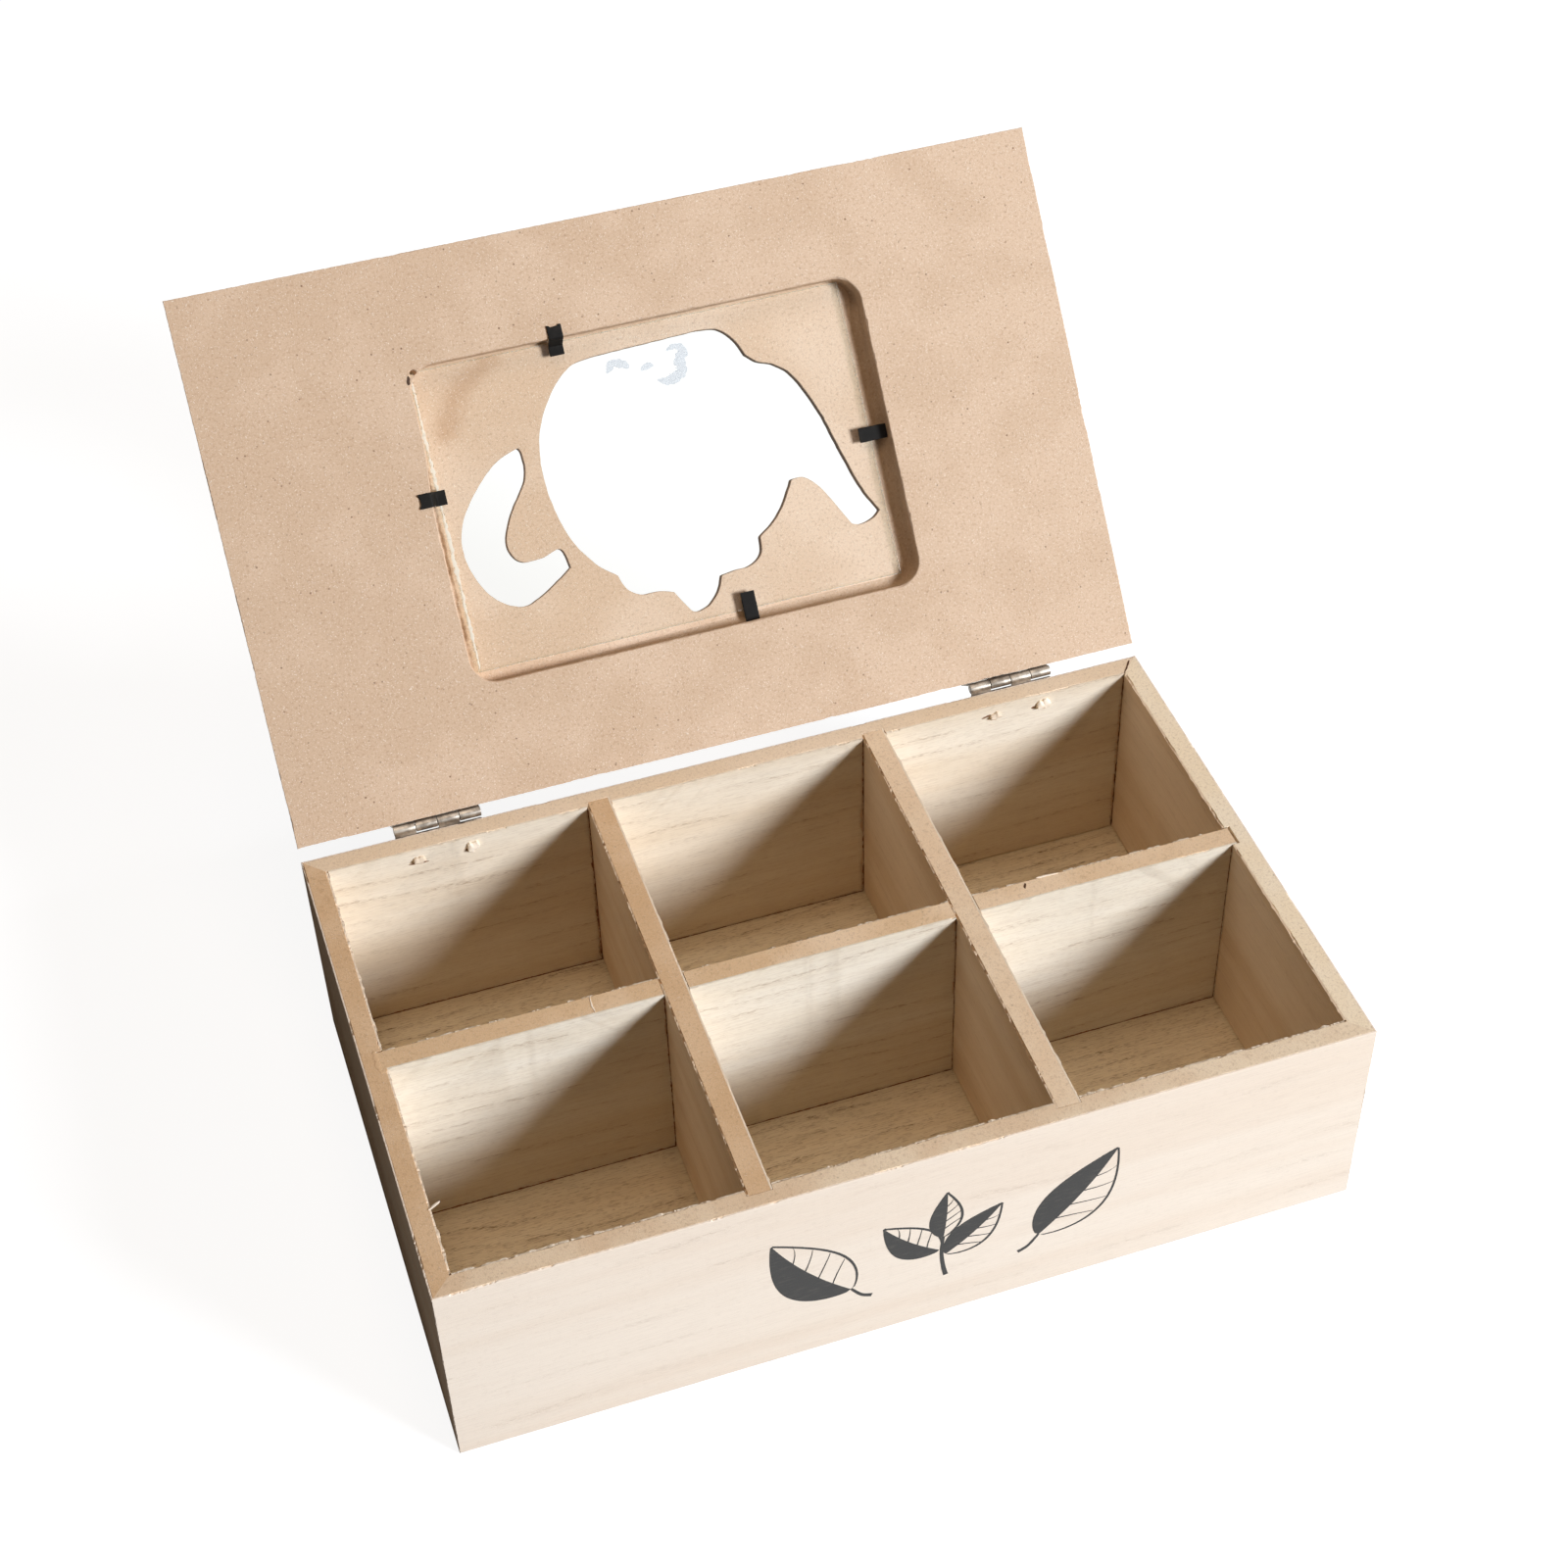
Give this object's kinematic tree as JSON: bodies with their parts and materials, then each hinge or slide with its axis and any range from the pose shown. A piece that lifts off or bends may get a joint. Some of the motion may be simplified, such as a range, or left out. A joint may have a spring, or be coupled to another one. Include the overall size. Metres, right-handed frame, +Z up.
{
  "type": "tea bag organizer box",
  "caption": "Shallow wooden box divided into open compartments for tea bags, with a hinged lid that has a glazed teapot-shaped window.",
  "frame": {"origin": "centre of the underside of the box, on the surface it stands on", "axes": "+X along the front face towards the right side wall, +Y from the front face towards the hinged back wall, +Z up out of the compartments"},
  "size_m": [0.24, 0.2516, 0.1794],
  "materials": {
    "veneered_board": "pale open-grained veneer over brown fibreboard, cut edges bare",
    "base_board": "thin board with darker flecked veneer, matt",
    "raw_fibreboard": "bare speckled fibreboard inside and veneer outside, matt",
    "clear_glass": "clear sheet glass with ground edges",
    "blackened_steel": "blackened thin spring strip, semi-gloss",
    "plated_steel": "bright nickel-plated pressed sheet",
    "screw_steel": "bright plated steel"
  },
  "bodies": {
    "box": {"front_wall": "veneered_board", "back_wall": "veneered_board", "left_wall": "veneered_board", "right_wall": "veneered_board", "base_panel": "base_board", "long_divider": "veneered_board", "left_cross_divider": "veneered_board", "right_cross_divider": "veneered_board", "left_hinge_box_leaf": "plated_steel", "left_hinge_pin": "plated_steel", "left_hinge_box_screws": "screw_steel", "right_hinge_box_leaf": "plated_steel", "right_hinge_pin": "plated_steel", "right_hinge_box_screws": "screw_steel"},
    "lid": {"lid_panel": "raw_fibreboard", "window_glass": "clear_glass", "front_glass_clip": "blackened_steel", "left_glass_clip": "blackened_steel", "right_glass_clip": "blackened_steel", "back_glass_clip": "blackened_steel", "left_hinge_lid_leaf": "plated_steel", "left_hinge_lid_screws": "screw_steel", "right_hinge_lid_leaf": "plated_steel", "right_hinge_lid_screws": "screw_steel"}
  },
  "joints": [
    {"name": "lid_hinge", "type": "hinge", "parent": "box", "child": "lid", "pos_m": [0, 0.0757, 0.065], "axis": [-1, 0, 0], "range_deg": [-130, 50]}
  ]
}
